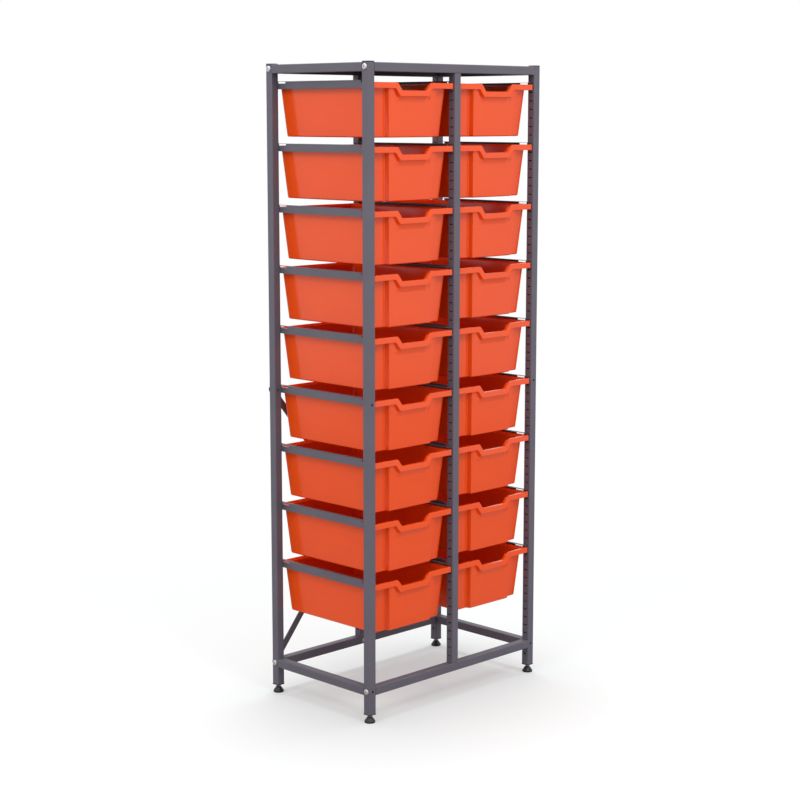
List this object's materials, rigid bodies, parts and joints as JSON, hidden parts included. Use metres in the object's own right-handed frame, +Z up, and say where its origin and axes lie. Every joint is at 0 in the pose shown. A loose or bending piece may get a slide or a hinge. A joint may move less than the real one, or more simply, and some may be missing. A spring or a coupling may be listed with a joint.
{
  "type": "classroom tray storage unit",
  "caption": "Square-tube steel frame that holds two columns of deep orange pull-out trays on pressed runners, on levelling feet.",
  "frame": {"origin": "on the floor, at the middle of the unit's width and depth, brace screws included", "axes": "+Z up, +X to the right seen from the front; trays pull out along -Y"},
  "size_m": [0.714, 0.4326, 1.855],
  "materials": {
    "frame_paint": "smooth grey powder coat",
    "runner_paint": "smooth grey powder coat on pressed sheet",
    "tray_plastic": "satin moulded orange",
    "black_plastic": "fine textured black",
    "plated_steel": "bright zinc plate"
  },
  "bodies": {
    "frame": {"post_front_left": "frame_paint", "post_back_left": "frame_paint", "top_rail_left": "frame_paint", "bottom_rail_left": "frame_paint", "post_front_right": "frame_paint", "post_back_right": "frame_paint", "top_rail_right": "frame_paint", "bottom_rail_right": "frame_paint", "post_front_middle": "frame_paint", "top_rail_front": "frame_paint", "bottom_rail_front": "frame_paint", "post_back_middle": "frame_paint", "top_rail_back": "frame_paint", "bottom_rail_back": "frame_paint", "top_panel": "frame_paint", "runners_left_outer": "runner_paint", "runners_left_inner": "runner_paint", "runners_right_inner": "runner_paint", "runners_right_outer": "runner_paint", "brace_bar_rising": "frame_paint", "brace_bar_falling": "frame_paint", "foot_inserts": "black_plastic", "top_caps": "black_plastic", "frame_bolts": "plated_steel", "middle_post_bolts": "plated_steel", "brace_screws": "plated_steel", "brace_spacers": "plated_steel", "rail_end_inserts": "plated_steel", "middle_post_spigots": "plated_steel"},
    "tray_left_1": {"tray_left_1": "tray_plastic"},
    "tray_left_2": {"tray_left_2": "tray_plastic"},
    "tray_left_3": {"tray_left_3": "tray_plastic"},
    "tray_left_4": {"tray_left_4": "tray_plastic"},
    "tray_left_5": {"tray_left_5": "tray_plastic"},
    "tray_left_6": {"tray_left_6": "tray_plastic"},
    "tray_left_7": {"tray_left_7": "tray_plastic"},
    "tray_left_8": {"tray_left_8": "tray_plastic"},
    "tray_left_9": {"tray_left_9": "tray_plastic"},
    "tray_right_1": {"tray_right_1": "tray_plastic"},
    "tray_right_2": {"tray_right_2": "tray_plastic"},
    "tray_right_3": {"tray_right_3": "tray_plastic"},
    "tray_right_4": {"tray_right_4": "tray_plastic"},
    "tray_right_5": {"tray_right_5": "tray_plastic"},
    "tray_right_6": {"tray_right_6": "tray_plastic"},
    "tray_right_7": {"tray_right_7": "tray_plastic"},
    "tray_right_8": {"tray_right_8": "tray_plastic"},
    "tray_right_9": {"tray_right_9": "tray_plastic"},
    "foot_front_left": {"foot_base_front_left": "black_plastic", "foot_stem_front_left": "plated_steel"},
    "foot_back_left": {"foot_base_back_left": "black_plastic", "foot_stem_back_left": "plated_steel"},
    "foot_front_right": {"foot_base_front_right": "black_plastic", "foot_stem_front_right": "plated_steel"},
    "foot_back_right": {"foot_base_back_right": "black_plastic", "foot_stem_back_right": "plated_steel"}
  },
  "joints": [
    {"name": "slide_left_1", "type": "slide", "parent": "frame", "child": "tray_left_1", "axis": [0, -1, 0], "range_m": [0, 0.36]},
    {"name": "slide_left_2", "type": "slide", "parent": "frame", "child": "tray_left_2", "axis": [0, -1, 0], "range_m": [0, 0.36]},
    {"name": "slide_left_3", "type": "slide", "parent": "frame", "child": "tray_left_3", "axis": [0, -1, 0], "range_m": [0, 0.36]},
    {"name": "slide_left_4", "type": "slide", "parent": "frame", "child": "tray_left_4", "axis": [0, -1, 0], "range_m": [0, 0.36]},
    {"name": "slide_left_5", "type": "slide", "parent": "frame", "child": "tray_left_5", "axis": [0, -1, 0], "range_m": [0, 0.36]},
    {"name": "slide_left_6", "type": "slide", "parent": "frame", "child": "tray_left_6", "axis": [0, -1, 0], "range_m": [0, 0.36]},
    {"name": "slide_left_7", "type": "slide", "parent": "frame", "child": "tray_left_7", "axis": [0, -1, 0], "range_m": [0, 0.36]},
    {"name": "slide_left_8", "type": "slide", "parent": "frame", "child": "tray_left_8", "axis": [0, -1, 0], "range_m": [0, 0.36]},
    {"name": "slide_left_9", "type": "slide", "parent": "frame", "child": "tray_left_9", "axis": [0, -1, 0], "range_m": [0, 0.36]},
    {"name": "slide_right_1", "type": "slide", "parent": "frame", "child": "tray_right_1", "axis": [0, -1, 0], "range_m": [0, 0.36]},
    {"name": "slide_right_2", "type": "slide", "parent": "frame", "child": "tray_right_2", "axis": [0, -1, 0], "range_m": [0, 0.36]},
    {"name": "slide_right_3", "type": "slide", "parent": "frame", "child": "tray_right_3", "axis": [0, -1, 0], "range_m": [0, 0.36]},
    {"name": "slide_right_4", "type": "slide", "parent": "frame", "child": "tray_right_4", "axis": [0, -1, 0], "range_m": [0, 0.36]},
    {"name": "slide_right_5", "type": "slide", "parent": "frame", "child": "tray_right_5", "axis": [0, -1, 0], "range_m": [0, 0.36]},
    {"name": "slide_right_6", "type": "slide", "parent": "frame", "child": "tray_right_6", "axis": [0, -1, 0], "range_m": [0, 0.36]},
    {"name": "slide_right_7", "type": "slide", "parent": "frame", "child": "tray_right_7", "axis": [0, -1, 0], "range_m": [0, 0.36]},
    {"name": "slide_right_8", "type": "slide", "parent": "frame", "child": "tray_right_8", "axis": [0, -1, 0], "range_m": [0, 0.36]},
    {"name": "slide_right_9", "type": "slide", "parent": "frame", "child": "tray_right_9", "axis": [0, -1, 0], "range_m": [0, 0.36]},
    {"name": "level_front_left", "type": "slide", "parent": "frame", "child": "foot_front_left", "axis": [0, 0, -1], "range_m": [-0.004, 0.012]},
    {"name": "level_back_left", "type": "slide", "parent": "frame", "child": "foot_back_left", "axis": [0, 0, -1], "range_m": [-0.004, 0.012]},
    {"name": "level_front_right", "type": "slide", "parent": "frame", "child": "foot_front_right", "axis": [0, 0, -1], "range_m": [-0.004, 0.012]},
    {"name": "level_back_right", "type": "slide", "parent": "frame", "child": "foot_back_right", "axis": [0, 0, -1], "range_m": [-0.004, 0.012]}
  ]
}
